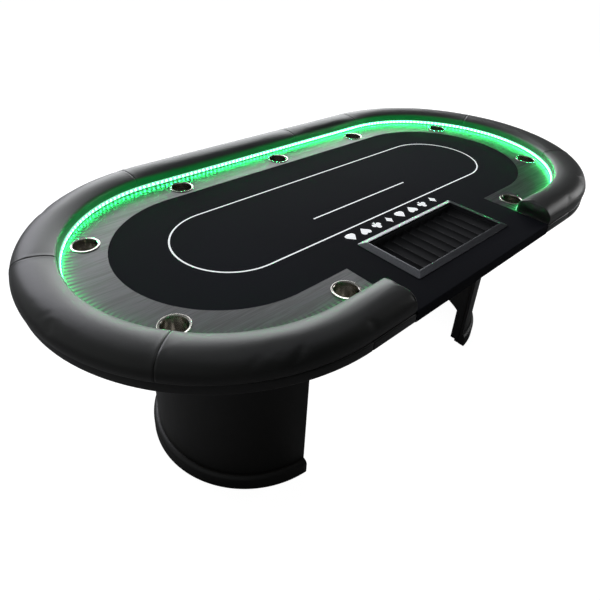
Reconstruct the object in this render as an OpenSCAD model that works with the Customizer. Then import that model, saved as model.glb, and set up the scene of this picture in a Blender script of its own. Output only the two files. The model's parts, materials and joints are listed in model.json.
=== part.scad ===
// Nine-seat casino poker table with a dealer position, a padded armrest and two D-plan pedestals.
// Millimetres, +Z up. X runs along the table and the dealer sits on the -Y side.
// The origin is on the floor, under the middle of the table.

/* [Table top] */
// Height of the playing surface above the floor
surface_h = 738; // [700:1:780]
// Distance from the middle of the table to the centre of each rounded end
end_x = 514; // [480:1:560]
// Radius of the cloth's rounded ends, which is half the cloth's width
cloth_r = 321; // [300:1:330]
// Thickness of the foam-backed playing cloth
cloth_t = 3; // [2:0.5:5]
// Thickness of the board under the cloth
cloth_board_t = 9; // [6:1:10]
// Thickness of the base board that carries everything
base_t = 18; // [15:1:21]
// Radius of the base board's rounded ends
base_r = 543; // [541:1:545]
// Distance from the middle to the centre of the base board's rounded ends
base_end_x = 505; // [500:1:508]
// Distance from the middle to the joints between the base board's three lengths
base_joint = 350; // [340:1:380]
// Radius to which the racetrack runs, under the armrest
track_r = 452; // [448:1:456]

/* [Dealer position] */
// Half the width of the gap in the racetrack and the armrest
gap_half = 347; // [330:1:360]
// Thickness of the wooden apron along the dealer's edge
apron_t = 10; // [8:1:12]

/* [Armrest] */
// Radius of the armrest's inner face
rail_in = 440; // [438:1:446]
// Radius of the armrest at its widest
rail_out = 556; // [550:1:560]
// Height of the armrest's crown above the playing surface
rail_h = 52; // [46:1:60]
// Inner radius of the wooden core
core_in = 460; // [458:1:466]
// Outer radius of the wooden core
core_out = 533; // [525:1:535]
// Height of the wooden core
core_h = 40; // [34:1:42]
// Angle of the seam behind each end, measured from the table's long axis
seam_back = 18.5; // [15:0.5:25]
// Angle of the seam before each end, measured from the table's long axis
seam_front = 40; // [35:1:45]
// Angle of the seam where the back meets the left end, measured from the short axis
seam_turn = 6; // [4:1:10]
// Distance of the seam along the back from the middle
seam_x = 150; // [100:1:200]

/* [Skirt] */
// Radius of the skirt's outer face
skirt_r = 555; // [553:1:558]
// Distance from the playing surface down to the skirt's lower edge
skirt_drop = 34; // [32:1:40]

/* [Light strip] */
// Width of the light strip
led_w = 12; // [8:1:14]
// Height of the light strip's lower edge above the playing surface
led_z = 2; // [1:1:9]
// Thickness of the light strip
led_t = 2.7; // [2:0.1:2.8]

/* [Cup holders] */
// Radius of the rim
cup_rim_r = 40; // [38:0.5:42]
// Outer radius of the cup's wall
cup_r = 34; // [32:0.5:35]
// Depth of the cup below the playing surface
cup_depth = 62; // [50:1:70]
// Thickness of the sheet steel
cup_wall = 1.2; // [1:0.1:2]

/* [Chip tray] */
// Length of the bezel along the table
bezel_l = 466; // [460:1:480]
// Width of the bezel across the table
bezel_w = 222; // [216:1:230]
// Distance of the tray's middle from the table's middle
tray_y = 365; // [360:1:368]
// Number of chip channels
channels = 10; // [8:1:10]
// Distance from one channel to the next
channel_pitch = 41; // [40.5:0.1:41.5]
// Radius of a chip channel
channel_r = 20; // [19.5:0.1:20]
// Length of a chip channel
channel_l = 175; // [160:1:176]

/* [Pedestals] */
// Distance of the flat inner panel's face from the middle of the table
panel_x = 459; // [450:1:470]
// Distance of the curved shell's axis from the middle of the table
ped_x = 428; // [420:1:435]
// Outer radius of the curved shell
ped_r = 322; // [316:1:326]
// Thickness of the shell and of the flat panel
ped_wall = 12; // [10:1:15]
// Height of the plinth
plinth_h = 52; // [45:1:60]
// How far the plinth stands out from the shell
plinth_t = 16; // [12:1:20]
// Half the width of the opening at the foot of the flat panel
arch_half = 290; // [270:1:294]
// Height of the opening at its crown
arch_h = 200; // [180:1:220]
// Height of the glides under the pedestal
glide_h = 3; // [2:0.5:4]

/* [Hidden] */
$fn = 96;
gap = 0.3;               // clearance between upholstery and its neighbours
slip = 1;                // clearance round the parts that lift out
board_top = surface_h - cloth_t - cloth_board_t;
base_bottom = board_top - base_t;
skirt_bottom = surface_h - skirt_drop;
skirt_top = surface_h - 6.5;
crown_r = 148;           // radius of the armrest's crowned top
inner_round = 20;        // radius of the armrest's inner shoulder
outer_round = 40;        // radius of the armrest's outer shoulder
tuck_round = 26;         // radius under the armrest's outer side
crown_y = rail_out - 59; // where the crown is highest
crown_z = rail_h - crown_r;
inner_c = [rail_in + inner_round,
           crown_z + sqrt(pow(crown_r - inner_round, 2) - pow(rail_in + inner_round - crown_y, 2))];
outer_c = [rail_out - outer_round,
           crown_z + sqrt(pow(crown_r - outer_round, 2) - pow(rail_out - outer_round - crown_y, 2))];
inner_tan = atan2(inner_c[1] - crown_z, inner_c[0] - crown_y);
outer_tan = atan2(outer_c[1] - crown_z, outer_c[0] - crown_y);
core_top = core_h - cloth_t - cloth_board_t;
pad_end = 8;             // thickness of the padding over the core's ends
tub_l = channels * channel_pitch + 8;
tub_w = channel_l + 8;
well_l = tub_l - 2;      // clear opening of the bezel
well_w = tub_w - 2;
bezel_h = 8;
tub_depth = 33;
channel_z = surface_h - 10;
bolt_r = 4;
rail_bolt_r = 498;       // radius of the ring of armrest bolts
lead_r = 1.2;
lead_x = 200;            // where the light strip's lead goes down
bearer_y = 210;
bearer_w = 40;
bearer_h = 45;
plate_t = 18;
post_w = 32;
arch_r = 215;            // radius of the haunches of the pedestal's opening
ped_bolts = [[520, 120], [520, -120], [660, 110], [660, -110]];
cup_front = [419, -387];
cup_near = [820, -234];
cup_far = [834, 213];
cup_back = [431, 373];
cups = [for (p = [cup_front, cup_near, cup_far, cup_back], s = [-1, 1]) [s * p[0], p[1]],
        [0, cup_back[1]]];
rail_bolts_xy = concat(
    [for (x = [-400, -130, 130, 400]) [x, rail_bolt_r]],
    [for (s = [-1, 1], a = [-70, -35, 0, 35, 70])
        s * [end_x + rail_bolt_r * cos(a), s * rail_bolt_r * sin(a)]],
    [for (s = [-1, 1]) [s * 430, -rail_bolt_r]]);

// Points along an arc about c, from angle a0 to a1
function arc(c, r, a0, a1, n) =
    [for (i = [0:n]) c + r * [cos(a0 + (a1 - a0) * i / n), sin(a0 + (a1 - a0) * i / n)]];

// Armrest section: x is the distance from the table's spine, y the height over the playing surface
rail_outline = concat(
    [[rail_in, gap]],
    arc(inner_c, inner_round, 180, inner_tan, 6),
    arc([crown_y, crown_z], crown_r, inner_tan - 3, outer_tan + 3, 8),
    arc(outer_c, outer_round, outer_tan, 0, 8),
    arc([rail_out - tuck_round, outer_c[1]], tuck_round, -12, -38, 3),
    [[core_out + gap, -5.5]]);
// The padding has a pocket below for the core, and its closed end beside the dealer has none
rail_section = concat(rail_outline, [[core_out + gap, core_top + gap],
    [core_in - gap, core_top + gap], [core_in - gap, gap]]);
rail_end_section = concat(rail_outline, [[core_out + gap, gap]]);

module stadium(c, r) {
    translate([-c, -r]) square([2 * c, 2 * r]);
    for (s = [-1, 1]) translate([s * c, 0]) circle(r);
}

// A section carried straight along X at the back (+1) or the front (-1)
module straight(x0, x1, side) {
    mirror([0, side < 0 ? 1 : 0, 0]) translate([x0, 0, 0]) rotate([90, 0, 90])
        linear_extrude(x1 - x0) children();
}

// A section carried round an end's centre, from angle a0 to a1
module bend(c, a0, a1) {
    translate([c, 0, 0]) rotate([0, 0, a0]) rotate_extrude(angle = a1 - a0, $fn = 180) children();
}

module rect_section(r0, r1, z0, z1) {
    translate([r0, z0]) square([r1 - r0, z1 - z0]);
}

module at_surface() {
    translate([0, 0, surface_h]) children();
}

// A piece made for the right side, mirrored for the left
module on_side(side) {
    mirror([side < 0 ? 1 : 0, 0, 0]) children();
}

module cup_cuts() {
    for (p = cups) translate([p[0], p[1], base_bottom - 1])
        cylinder(r = cup_r + slip, h = surface_h - base_bottom + 2);
}

module tray_cut() {
    translate([-tub_l / 2 - slip, -tray_y - tub_w / 2 - slip, base_bottom - 1])
        cube([tub_l + 2 * slip, tub_w + 2 * slip, surface_h - base_bottom + 2]);
}

module lead_cut() {
    translate([lead_x, rail_in - 1.65, base_bottom - 1]) cylinder(r = lead_r + 0.5, h = 60, $fn = 24);
}

// Boards and cloth
// The base board is in three lengths, butted together over the bearers
module base_board(x0, x1) {
    color("peru") difference() {
        intersection() {
            translate([0, 0, base_bottom]) linear_extrude(base_t) stadium(base_end_x, base_r);
            translate([x0, -2 * base_r, base_bottom]) cube([x1 - x0, 4 * base_r, base_t]);
        }
        cup_cuts();
        tray_cut();
        lead_cut();
        for (p = rail_bolts_xy) translate([p[0], p[1], base_bottom - 1])
            cylinder(r = bolt_r + 0.5, h = base_t + 2, $fn = 32);
        for (s = [-1, 1], p = ped_bolts) translate([s * p[0], p[1], base_bottom - 1])
            cylinder(r = bolt_r + 1.6, h = 15, $fn = 32);
    }
}

module cloth_plan(front) {
    stadium(end_x, cloth_r - 0.2);
    translate([-gap_half + 0.5, -front]) square([2 * gap_half - 1, front]);
}

module cloth_board() {
    color("burlywood") difference() {
        translate([0, 0, board_top]) linear_extrude(cloth_board_t) cloth_plan(base_r);
        tray_cut();
    }
}

module playing_cloth() {
    front = base_r + apron_t + 2;
    color([0.10, 0.10, 0.11]) {
        difference() {
            translate([0, 0, surface_h - cloth_t]) linear_extrude(cloth_t) cloth_plan(front);
            tray_cut();
        }
        translate([-gap_half + 0.5, -front, skirt_bottom])
            cube([2 * gap_half - 1, 2, surface_h - skirt_bottom - 1]);
    }
}

module dealer_apron() {
    color("saddlebrown") translate([-gap_half + 0.5, -base_r - apron_t, skirt_bottom])
        cube([2 * gap_half - 1, apron_t, surface_h - cloth_t - skirt_bottom]);
}

// Racetrack: woodgrain laminate on board, round the cloth, in five butted lengths
module racetrack_end(side) {
    color([0.17, 0.17, 0.18]) difference() {
        translate([0, 0, board_top]) bend(side * end_x, side < 0 ? 90 : -90, side < 0 ? 270 : 90)
            rect_section(cloth_r, track_r, 0, surface_h - board_top);
        cup_cuts();
    }
}

module racetrack_back() {
    color([0.17, 0.17, 0.18]) difference() {
        translate([-end_x, cloth_r, board_top]) cube([2 * end_x, track_r - cloth_r, surface_h - board_top]);
        cup_cuts();
        lead_cut();
    }
}

module racetrack_front(side) {
    color([0.17, 0.17, 0.18]) difference() {
        translate([side < 0 ? -end_x : gap_half, -track_r, board_top])
            cube([end_x - gap_half, track_r - cloth_r, surface_h - board_top]);
        cup_cuts();
    }
}

// Armrest: a wooden core under padded vinyl, sewn in eight lengths
module rail_core() {
    color("tan") difference() {
        translate([0, 0, board_top]) {
            bend(-end_x, 90, 270) rect_section(core_in, core_out, 0, core_h);
            bend(end_x, -90, 90) rect_section(core_in, core_out, 0, core_h);
            straight(-end_x, end_x, 1) rect_section(core_in, core_out, 0, core_h);
            straight(-end_x, -gap_half - pad_end, -1) rect_section(core_in, core_out, 0, core_h);
            straight(gap_half + pad_end, end_x, -1) rect_section(core_in, core_out, 0, core_h);
        }
        for (p = rail_bolts_xy) translate([p[0], p[1], board_top - 1])
            cylinder(r = bolt_r + 0.5, h = 33, $fn = 32);
    }
}

module pad_bend(c, a0, a1) {
    color([0.13, 0.13, 0.14]) at_surface() bend(c, a0, a1) polygon(rail_section);
}

module pad_straight(x0, x1, side) {
    color([0.13, 0.13, 0.14]) at_surface() straight(x0, x1, side) polygon(rail_section);
}

// A front length of padding, whose closed end beside the dealer covers the core's cut end
module rail_pad_front(side) {
    end_wall = gap_half + pad_end - gap;
    on_side(side) {
        pad_straight(end_wall, end_x, -1);
        pad_bend(end_x, -90, -seam_front);
        color([0.13, 0.13, 0.14]) at_surface() straight(gap_half, end_wall, -1) polygon(rail_end_section);
    }
}

module rail_pad_end(side) {
    on_side(side) pad_bend(end_x, -seam_front, seam_back);
}

module rail_pad_back_middle() {
    pad_bend(-end_x, 90, 90 + seam_turn);
    pad_straight(-end_x, seam_x, 1);
}

module rail_bolts() {
    color("silver") for (p = rail_bolts_xy) translate([p[0], p[1], base_bottom]) {
        cylinder(r = bolt_r, h = 48, $fn = 32);
        translate([0, 0, -1.6]) cylinder(r = 10, h = 1.6, $fn = 32);
        translate([0, 0, -7]) cylinder(r = 7.5, h = 6, $fn = 6);
    }
}

// Skirt: a vinyl-covered band round the edge of the base board, below the armrest
module skirt_bend(side) {
    color([0.09, 0.09, 0.09]) bend(side * base_end_x, side < 0 ? 90 : -90, side < 0 ? 270 : 90)
        rect_section(base_r, skirt_r, skirt_bottom, skirt_top);
}

module skirt_straight(x0, x1, side) {
    color([0.09, 0.09, 0.09]) straight(x0, x1, side) rect_section(base_r, skirt_r, skirt_bottom, skirt_top);
}

// Lighting
module led_band() {
    rect_section(rail_in - 0.3 - led_t, rail_in - 0.3, led_z, led_z + led_w);
}

module led_strip() {
    color([0.3, 1, 0.6]) at_surface() {
        bend(-end_x, 90, 270) led_band();
        bend(end_x, -90, 90) led_band();
        straight(-end_x, end_x, 1) led_band();
        straight(-end_x, -gap_half - 5, -1) led_band();
        straight(gap_half + 5, end_x, -1) led_band();
    }
}

module led_lead() {
    lead_z = base_bottom - 8;
    lead_y = rail_in - 1.65;
    color("dimgray") {
        translate([lead_x, lead_y, lead_z]) cylinder(r = lead_r, h = surface_h + led_z - lead_z, $fn = 24);
        translate([lead_x, lead_y, lead_z]) sphere(r = lead_r, $fn = 24);
        translate([lead_x, 380, lead_z]) rotate([-90, 0, 0]) cylinder(r = lead_r, h = lead_y - 380, $fn = 24);
    }
}

module led_controller() {
    color([0.1, 0.1, 0.1]) difference() {
        translate([lead_x - 45, 335, base_bottom - 22]) cube([90, 45, 22]);
        for (s = [-1, 1]) translate([lead_x + s * 40, 357.5, base_bottom - 23])
            cylinder(r = 1.6, h = 24, $fn = 24);
    }
}

module dc_inlet() {
    color("gray") translate([lead_x - 45, 357.5, base_bottom - 11]) rotate([0, -90, 0]) {
        difference() {
            cylinder(r = 5.5, h = 9, $fn = 32);
            translate([0, 0, 1]) cylinder(r = 2.75, h = 9, $fn = 32);
        }
        cylinder(r = 1, h = 8, $fn = 24);
    }
}

// Chip tray: a bevelled bezel and a moulded tub that lift out together
module bezel_plan(l, w, r) {
    for (x = [-1, 1], y = [-1, 1]) translate([x * (l / 2 - r), y * (w / 2 - r)]) circle(r, $fn = 32);
}

module tray_bezel() {
    color([0.35, 0.36, 0.37]) translate([0, -tray_y, surface_h]) difference() {
        hull() {
            linear_extrude(1.5) bezel_plan(bezel_l, bezel_w, 6);
            linear_extrude(bezel_h) bezel_plan(well_l + 8, well_w + 8, 3);
        }
        translate([-well_l / 2, -well_w / 2, -1]) cube([well_l, well_w, bezel_h + 2]);
    }
}

module tray_tub() {
    color([0.07, 0.07, 0.08]) difference() {
        translate([-tub_l / 2, -tray_y - tub_w / 2, surface_h - tub_depth]) cube([tub_l, tub_w, tub_depth]);
        translate([-tub_l / 2 + 3, -tray_y - channel_l / 2, channel_z])
            cube([tub_l - 6, channel_l, tub_depth]);
        for (i = [0:channels - 1])
            translate([(i - (channels - 1) / 2) * channel_pitch, -tray_y - channel_l / 2, channel_z])
                rotate([-90, 0, 0]) cylinder(r = channel_r, h = channel_l, $fn = 64);
    }
}

// Drop-in cup holder, spun from sheet steel, with a rolled rim
module cup_holder(p) {
    color([0.75, 0.76, 0.77]) translate([p[0], p[1], surface_h]) rotate_extrude() polygon(concat(
        [[0, -cup_depth], [cup_r - 4, -cup_depth]],
        arc([cup_r - 4, -cup_depth + 4], 4, -60, 0, 4),
        [[cup_r, 0], [cup_rim_r - 0.4, 0], [cup_rim_r, 1]],
        arc([cup_rim_r - 1.6, 1], 1.6, 20, 110, 4),
        [[cup_r, 2], [cup_r - cup_wall, 0.6], [cup_r - cup_wall, -cup_depth + 4],
         [cup_r - 4, -cup_depth + cup_wall], [0, -cup_depth + cup_wall]]));
}

// Timber bearers that stiffen the top between the pedestals
module bearer(side) {
    color("burlywood") translate([-panel_x, side * bearer_y - bearer_w / 2, base_bottom - bearer_h])
        cube([2 * panel_x, bearer_w, bearer_h]);
}

// Pedestals
module half_space(x0) {
    translate([x0, -500, 0]) cube([500, 1000, surface_h]);
}

module pedestal_shell(side) {
    color([0.06, 0.06, 0.06]) on_side(side) intersection() {
        difference() {
            translate([ped_x, 0, glide_h]) cylinder(r = ped_r, h = base_bottom - glide_h, $fn = 180);
            translate([ped_x, 0, 0]) cylinder(r = ped_r - ped_wall, h = base_bottom + 1, $fn = 180);
        }
        half_space(panel_x);
    }
}

// The flat panel's outline: width along x, height above the floor along y
module arch_outline() {
    haunch = arch_half - 5 - sqrt(pow(arch_r, 2) - pow(arch_r - 56, 2));
    polygon(concat([[-arch_half, 0], [arch_half, 0]],
        arc([haunch, arch_h - arch_r], arch_r, acos((arch_half - haunch) / arch_r), 90, 10),
        arc([-haunch, arch_h - arch_r], arch_r, 90, 180 - acos((arch_half - haunch) / arch_r), 10)));
}

module pedestal_panel(side) {
    half_w = sqrt(pow(ped_r - ped_wall, 2) - pow(panel_x + ped_wall - ped_x, 2)) - gap;
    color([0.05, 0.05, 0.05]) on_side(side) translate([panel_x, 0, 0]) rotate([90, 0, 90])
        linear_extrude(ped_wall) difference() {
            translate([-half_w, glide_h]) square([2 * half_w, base_bottom - glide_h]);
            arch_outline();
        }
}

module pedestal_plinth(side) {
    top = plinth_h + glide_h;
    color([0.06, 0.06, 0.06]) on_side(side) intersection() {
        translate([ped_x, 0, 0]) rotate_extrude($fn = 180) polygon(concat(
            [[ped_r, glide_h], [ped_r + plinth_t, glide_h]],
            arc([ped_r, top - plinth_t], plinth_t, 0, 90, 8)));
        half_space(panel_x);
    }
}

module pedestal_plate(side) {
    color("peru") on_side(side) difference() {
        intersection() {
            translate([ped_x, 0, base_bottom - plate_t])
                cylinder(r = ped_r - ped_wall - gap, h = plate_t, $fn = 180);
            half_space(panel_x + ped_wall);
        }
        for (p = ped_bolts) translate([p[0], p[1], base_bottom - plate_t - 1])
            cylinder(r = bolt_r + 0.5, h = plate_t + 2, $fn = 32);
    }
}

module pedestal_posts(side) {
    color("burlywood") on_side(side) for (s = [-1, 1])
        translate([panel_x + ped_wall, s * 281 - post_w / 2, glide_h])
            cube([post_w, post_w, base_bottom - plate_t - glide_h]);
}

module pedestal_glides(side) {
    color("dimgray") on_side(side) {
        for (a = [-60, 0, 60]) translate([ped_x + (ped_r + 2) * cos(a), (ped_r + 2) * sin(a), 0])
            cylinder(r = 11, h = glide_h, $fn = 32);
        for (s = [-1, 1]) translate([panel_x + ped_wall + post_w / 2, s * 281, 0])
            cylinder(r = 11, h = glide_h, $fn = 32);
    }
}

module pedestal_bolts(side) {
    color("silver") on_side(side) for (p = ped_bolts) translate([p[0], p[1], base_bottom - plate_t]) {
        cylinder(r = bolt_r, h = plate_t + 12, $fn = 32);
        translate([0, 0, -1.6]) cylinder(r = 9, h = 1.6, $fn = 32);
        translate([0, 0, -7]) cylinder(r = 7, h = 6, $fn = 6);
    }
}

module threaded_inserts() {
    color("goldenrod") for (s = [-1, 1], p = ped_bolts) translate([s * p[0], p[1], base_bottom])
        difference() {
            cylinder(r = bolt_r + 1.5, h = 13, $fn = 32);
            translate([0, 0, -1]) cylinder(r = bolt_r + 0.1, h = 15, $fn = 32);
        }
}

base_board(-2 * base_joint - base_r, -base_joint);  // base_board_left
base_board(-base_joint, base_joint);  // base_board_middle
base_board(base_joint, 2 * base_joint + base_r);  // base_board_right
cloth_board();
playing_cloth();
racetrack_end(-1);  // racetrack_left
racetrack_end(1);  // racetrack_right
racetrack_back();
racetrack_front(-1);  // racetrack_front_left
racetrack_front(1);  // racetrack_front_right
rail_core();
rail_pad_front(-1);  // rail_pad_front_left
rail_pad_end(-1);  // rail_pad_left_end
pad_bend(-end_x, 90 + seam_turn, 180 - seam_back);  // rail_pad_back_left
rail_pad_back_middle();
pad_straight(seam_x, end_x, 1);  // rail_pad_back_right
pad_bend(end_x, seam_back, 90);  // rail_pad_right_back
rail_pad_end(1);  // rail_pad_right_end
rail_pad_front(1);  // rail_pad_front_right
rail_bolts();
skirt_bend(-1);  // skirt_left
skirt_bend(1);  // skirt_right
skirt_straight(-base_end_x, base_end_x, 1);  // skirt_back
skirt_straight(-base_end_x, -gap_half, -1);  // skirt_front_left
skirt_straight(gap_half, base_end_x, -1);  // skirt_front_right
dealer_apron();
led_strip();
led_lead();
led_controller();
dc_inlet();
tray_bezel();
tray_tub();
cup_holder([-cup_front[0], cup_front[1]]);  // cup_front_left
cup_holder(cup_front);  // cup_front_right
cup_holder([-cup_near[0], cup_near[1]]);  // cup_near_left
cup_holder(cup_near);  // cup_near_right
cup_holder([-cup_far[0], cup_far[1]]);  // cup_far_left
cup_holder(cup_far);  // cup_far_right
cup_holder([-cup_back[0], cup_back[1]]);  // cup_back_left
cup_holder(cup_back);  // cup_back_right
cup_holder([0, cup_back[1]]);  // cup_back_middle
bearer(-1);  // bearer_front
bearer(1);  // bearer_back
pedestal_shell(-1);  // pedestal_shell_left
pedestal_shell(1);  // pedestal_shell_right
pedestal_panel(-1);  // pedestal_panel_left
pedestal_panel(1);  // pedestal_panel_right
pedestal_plinth(-1);  // pedestal_plinth_left
pedestal_plinth(1);  // pedestal_plinth_right
pedestal_plate(-1);  // pedestal_plate_left
pedestal_plate(1);  // pedestal_plate_right
pedestal_posts(-1);  // pedestal_posts_left
pedestal_posts(1);  // pedestal_posts_right
pedestal_glides(-1);  // pedestal_glides_left
pedestal_glides(1);  // pedestal_glides_right
pedestal_bolts(-1);  // pedestal_bolts_left
pedestal_bolts(1);  // pedestal_bolts_right
threaded_inserts();
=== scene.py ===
# %% [markdown]
# # A casino poker table with a lit armrest
# The table is a long oval: a black speed cloth, a woodgrain racetrack with nine steel cup
# holders, and a padded vinyl armrest with a strip of green lights under its inner edge. It
# stands on two D-plan pedestals. The measured CAD parts come in first as a fixed frame, and
# every Blender piece takes its place from them.

# %% Load the frame
import bpy
import json
from math import atan2, cos, degrees, floor, hypot, pi, radians, sin, sqrt
from mathutils import Matrix, Vector


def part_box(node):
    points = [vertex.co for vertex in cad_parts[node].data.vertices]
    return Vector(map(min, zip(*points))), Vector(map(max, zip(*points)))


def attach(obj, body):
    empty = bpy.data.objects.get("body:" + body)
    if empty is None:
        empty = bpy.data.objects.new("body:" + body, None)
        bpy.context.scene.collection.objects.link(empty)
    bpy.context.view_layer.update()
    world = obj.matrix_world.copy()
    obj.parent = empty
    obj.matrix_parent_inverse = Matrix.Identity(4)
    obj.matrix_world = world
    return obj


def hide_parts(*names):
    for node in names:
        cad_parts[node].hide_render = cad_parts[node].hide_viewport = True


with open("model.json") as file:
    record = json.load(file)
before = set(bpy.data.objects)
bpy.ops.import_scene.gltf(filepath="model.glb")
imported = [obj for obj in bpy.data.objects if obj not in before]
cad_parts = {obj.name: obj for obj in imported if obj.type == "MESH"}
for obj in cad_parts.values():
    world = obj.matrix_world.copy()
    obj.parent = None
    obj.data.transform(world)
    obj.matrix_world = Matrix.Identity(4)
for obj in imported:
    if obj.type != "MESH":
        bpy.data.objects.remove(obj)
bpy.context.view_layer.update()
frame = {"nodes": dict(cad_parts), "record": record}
nodes = frame["nodes"]
scene = bpy.context.scene

# %% [markdown]
# The table's own measures come from the CAD nodes' boxes, so a piece made here can't drift
# from the part it stands for. Heights are counted from the playing surface, and radii from
# the straight line between the centres of the two rounded ends.

# %% The table's measures
MM = 0.001
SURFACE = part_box("playing_cloth")[1].z
CLOTH_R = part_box("playing_cloth")[1].y
END_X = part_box("playing_cloth")[1].x - CLOTH_R
RAIL_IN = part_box("rail_pad_back_right")[0].y
RAIL_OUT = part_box("rail_pad_back_right")[1].y
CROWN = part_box("rail_pad_back_right")[1].z - SURFACE
SEAM_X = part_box("rail_pad_back_right")[0].x
GAP_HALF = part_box("rail_pad_front_right")[0].x
DIODE_PITCH = 1 / 60                  # sixty diodes to the metre
SEAM_BACK, SEAM_FRONT, SEAM_TURN = 18.5, 40.0, 6.0
print(f"surface {SURFACE:.3f} m, ends at {END_X:.3f} m, armrest {RAIL_IN:.3f} to {RAIL_OUT:.3f} m")

# %% [markdown]
# ## Camera
# The view is a normal lens held at head height off the dealer's left, looking down about
# thirty degrees. A small upward shift keeps the object in the frame without tilting further.

# %% Camera
camera_data = bpy.data.cameras.new("camera")
camera_data.sensor_width = 36
camera_data.lens = 31.57
camera_data.shift_x = 0.0009
camera_data.shift_y = -0.1167
camera_data.clip_end = 100
camera = bpy.data.objects.new("camera", camera_data)
scene.collection.objects.link(camera)
right = Vector((0.738588, -0.672674, 0.044685))
down = Vector((-0.307962, -0.395616, -0.865243))
ahead = Vector((0.599705, 0.625298, -0.499356))
turned = Matrix((right, -down, -ahead)).transposed()
camera.matrix_world = Matrix.Translation((-1.25523, -1.07682, 1.52663)) @ turned.to_4x4()
scene.camera = camera

# %% [markdown]
# ## Small helpers
# An operator acts on whatever is selected, so each step starts by clearing the selection and
# then selects what it needs in code, by place. A colour is written as the sRGB hex value that
# the eye sees, and one function turns it to the linear value that a shader works in.

# %% Helpers for selecting
def only(*objects):
    """Select these objects and nothing else, and make the first one active."""
    if bpy.context.object and bpy.context.object.mode != "OBJECT":
        bpy.ops.object.mode_set(mode="OBJECT")
    bpy.ops.object.select_all(action="DESELECT")
    for o in objects:
        o.select_set(True)
    bpy.context.view_layer.objects.active = objects[0]
    return objects[0]


def pick(o, kind, test):
    """In edit mode, select the vertices, edges or faces of o whose place passes the test."""
    bpy.ops.object.mode_set(mode="EDIT")
    bpy.ops.mesh.select_mode(type=kind)
    bpy.ops.mesh.select_all(action="DESELECT")
    bpy.ops.object.mode_set(mode="OBJECT")
    mesh = o.data
    if kind == "VERT":
        for v in mesh.vertices:
            v.select = test(v.co)
    elif kind == "EDGE":
        for e in mesh.edges:
            e.select = test(mesh.vertices[e.vertices[0]].co, mesh.vertices[e.vertices[1]].co)
    else:
        for p in mesh.polygons:
            p.select = test(p.center, p.normal)
    bpy.ops.object.mode_set(mode="EDIT")


def from_spine(co):
    """Distance of a point from the line between the centres of the rounded ends."""
    return hypot(max(abs(co.x) - END_X, 0), co.y)


def settle(o):
    """Leave edit mode and bake the object's place into its mesh, so the object is at the origin."""
    only(o)
    bpy.ops.object.transform_apply(location=True, rotation=True, scale=True)


def finish_piece(o, name, body, material, replaces=()):
    o.name = name
    o.data.name = name
    settle(o)
    o.data.materials.clear()
    o.data.materials.append(material)
    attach(o, body)
    if replaces:
        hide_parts(*replaces)
    print(name, len(o.data.polygons), "faces")
    return o


# %% Helpers for materials
def srgb(code):
    """A hex colour as seen on a screen, turned to the linear RGBA that shaders use."""
    parts = [int(code[i:i + 2], 16) / 255 for i in (1, 3, 5)]
    return (*[p / 12.92 if p <= 0.04045 else ((p + 0.055) / 1.055) ** 2.4 for p in parts], 1)


def add(tree, kind, settings=None, **links):
    """Add a node; settings are its properties or socket values, links are sockets to join."""
    node = tree.nodes.new(kind)
    for key, value in (settings or {}).items():
        if isinstance(key, str) and hasattr(node, key):
            setattr(node, key, value)
        else:
            node.inputs[key].default_value = value
    for key, source in links.items():
        socket = int(key[1:]) if key[1:].isdigit() else key.replace("_", " ")
        tree.links.new(source, node.inputs[socket])
    return node


def surface(name, **values):
    """A material with its principled shader, whose uniform values sit on its own sockets."""
    material = bpy.data.materials.new(name)
    material.use_nodes = True
    tree = material.node_tree
    shader = next(n for n in tree.nodes if n.type == "BSDF_PRINCIPLED")
    for key, value in values.items():
        shader.inputs[key.replace("_", " ")].default_value = value
    place = add(tree, "ShaderNodeTexCoord").outputs["Object"]
    return material, tree, shader, place


def two_tone(tree, factor, dark, light, low=0.0, high=1.0):
    """A ramp between two hex colours."""
    ramp = add(tree, "ShaderNodeValToRGB", _0=factor)
    ramp.color_ramp.elements[0].position, ramp.color_ramp.elements[1].position = low, high
    ramp.color_ramp.elements[0].color, ramp.color_ramp.elements[1].color = srgb(dark), srgb(light)
    return ramp.outputs["Color"]


def painted_strip_glow(tree, shader, place, reach, strength, streaks):
    """Painted green glow beside the strip, an emission in the material that stands in for the light
    the diodes spill: it falls off from the armrest's inner face over the reach, and it has one
    streak for each diode where streaks is above 0."""
    def calc(operation, a, b=None, c=None):
        values = {"operation": operation}
        links = {}
        for i, v in enumerate((a, b, c)):
            if isinstance(v, (int, float)):
                values[i] = v
            elif v is not None:
                links[f"_{i}"] = v
        return add(tree, "ShaderNodeMath", values, **links).outputs[0]

    xyz = add(tree, "ShaderNodeSeparateXYZ", _0=place).outputs
    x, y = calc("ABSOLUTE", xyz["X"]), calc("ABSOLUTE", xyz["Y"])
    past = calc("MAXIMUM", calc("SUBTRACT", x, END_X), 0.0)
    r = calc("SQRT", calc("MULTIPLY_ADD", past, past, calc("MULTIPLY", y, y)))
    away = calc("MULTIPLY", calc("SUBTRACT", r, RAIL_IN), 1 / reach)
    fall = calc("EXPONENT", calc("MULTIPLY", calc("MULTIPLY", away, away), -1.0))
    s = calc("MULTIPLY_ADD", calc("ARCTAN2", past, y), RAIL_IN, calc("MINIMUM", x, END_X))
    wave = calc("SINE", calc("MULTIPLY", s, 2 * pi / DIODE_PITCH))
    streak = calc("MAXIMUM", calc("MULTIPLY_ADD", wave, streaks, 1 - streaks), 0.0)
    front_end = calc("SUBTRACT", GAP_HALF, x)      # no strip in front of the dealer
    open_front = calc("MULTIPLY", calc("GREATER_THAN", front_end, 0.0),
                      calc("LESS_THAN", xyz["Y"], 0.0))
    lit = calc("MULTIPLY", calc("MULTIPLY", fall, streak), calc("SUBTRACT", 1.0, open_front))
    glow = calc("MULTIPLY", lit, strength)
    shader.inputs["Emission Color"].default_value = srgb("#00ff70")
    tree.links.new(glow, shader.inputs["Emission Strength"])


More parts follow.
